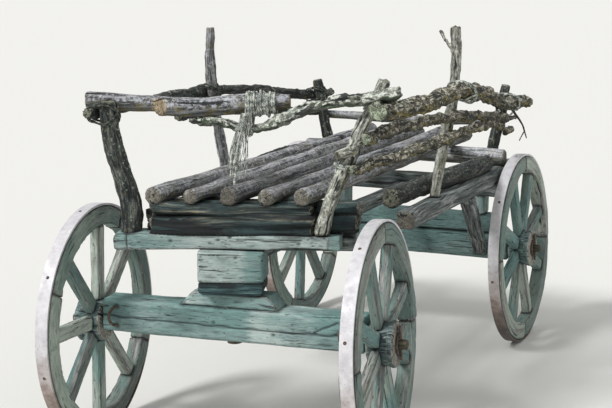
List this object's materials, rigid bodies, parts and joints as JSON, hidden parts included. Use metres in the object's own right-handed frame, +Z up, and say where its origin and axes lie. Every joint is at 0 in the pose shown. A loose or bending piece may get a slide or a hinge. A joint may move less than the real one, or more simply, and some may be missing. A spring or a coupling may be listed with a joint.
{
  "type": "farm trailer",
  "caption": "Old wooden farm wagon with spoked wheels, a steering front axle on a kingpin, a bed of round poles and a crooked branch rack tied with rope.",
  "frame": {"origin": "middle of the footprint's box, on the ground under the wheels", "axes": "+Y to the rear along the wagon, +X to its right as seen from the front, +Z up"},
  "size_m": [1.326, 2.7701, 1.5144],
  "materials": {
    "painted_wood": "faded chalky paint",
    "grey_wood": "weathered grey",
    "round_wood": "weathered round wood",
    "tyre_iron": "pale worn iron with rust",
    "forged_iron": "rusty",
    "rope": "weathered hemp"
  },
  "bodies": {
    "bed": {"bed_poles": "round_wood", "bolster_back_timber": "grey_wood", "bolster_sleepers": "grey_wood", "front_binding": "rope", "front_bolster": "painted_wood", "front_crooked_branch": "round_wood", "front_crossbar": "round_wood", "front_stakes": "round_wood", "kingpin": "forged_iron", "knee_braces": "grey_wood", "left_rack_poles": "round_wood", "middle_stakes": "round_wood", "rack_lashings": "rope", "reach": "grey_wood", "rear_axle_beam": "painted_wood", "rear_bearer": "round_wood", "rear_bolster": "painted_wood", "rear_crossbar": "round_wood", "rear_linchpins": "forged_iron", "rear_posts": "painted_wood", "rear_sand_board": "painted_wood", "rear_stakes": "round_wood", "right_rack_poles": "round_wood", "rope_tail": "rope", "side_logs": "round_wood", "side_rails": "grey_wood", "turntable_blocks": "painted_wood", "turntable_pad": "grey_wood"},
    "front_axle": {"front_axle_beam": "painted_wood", "front_saddle": "painted_wood", "shaft_hooks": "forged_iron", "front_linchpins": "forged_iron"},
    "front_left_wheel": {"front_left_hub": "painted_wood", "front_left_spokes": "painted_wood", "front_left_felloes": "painted_wood", "front_left_tyre": "tyre_iron"},
    "front_right_wheel": {"front_right_hub": "painted_wood", "front_right_spokes": "painted_wood", "front_right_felloes": "painted_wood", "front_right_tyre": "tyre_iron"},
    "rear_left_wheel": {"rear_left_hub": "painted_wood", "rear_left_spokes": "painted_wood", "rear_left_felloes": "painted_wood", "rear_left_tyre": "tyre_iron"},
    "rear_right_wheel": {"rear_right_hub": "painted_wood", "rear_right_spokes": "painted_wood", "rear_right_felloes": "painted_wood", "rear_right_tyre": "tyre_iron"}
  },
  "joints": [
    {"name": "steering", "type": "hinge", "parent": "bed", "child": "front_axle", "pos_m": [0, -0.88388, 0.59], "axis": [0, 0, 1], "range_deg": [-31.4, 18.6]},
    {"name": "front_left_wheel_spin", "type": "hinge", "parent": "front_axle", "child": "front_left_wheel", "pos_m": [-0.54757, -0.9453, 0.44033], "axis": [-0.9936, -0.1115, -0.0175], "continuous": true},
    {"name": "front_right_wheel_spin", "type": "hinge", "parent": "front_axle", "child": "front_right_wheel", "pos_m": [0.54757, -0.82246, 0.4406], "axis": [0.9927, 0.1113, 0.0471], "continuous": true},
    {"name": "rear_left_wheel_spin", "type": "hinge", "parent": "bed", "child": "rear_left_wheel", "pos_m": [-0.5625, 0.94512, 0.4405], "axis": [-0.9995, 0, -0.0314], "continuous": true},
    {"name": "rear_right_wheel_spin", "type": "hinge", "parent": "bed", "child": "rear_right_wheel", "pos_m": [0.5625, 0.94512, 0.4405], "axis": [0.9995, 0, 0.0314], "continuous": true}
  ]
}
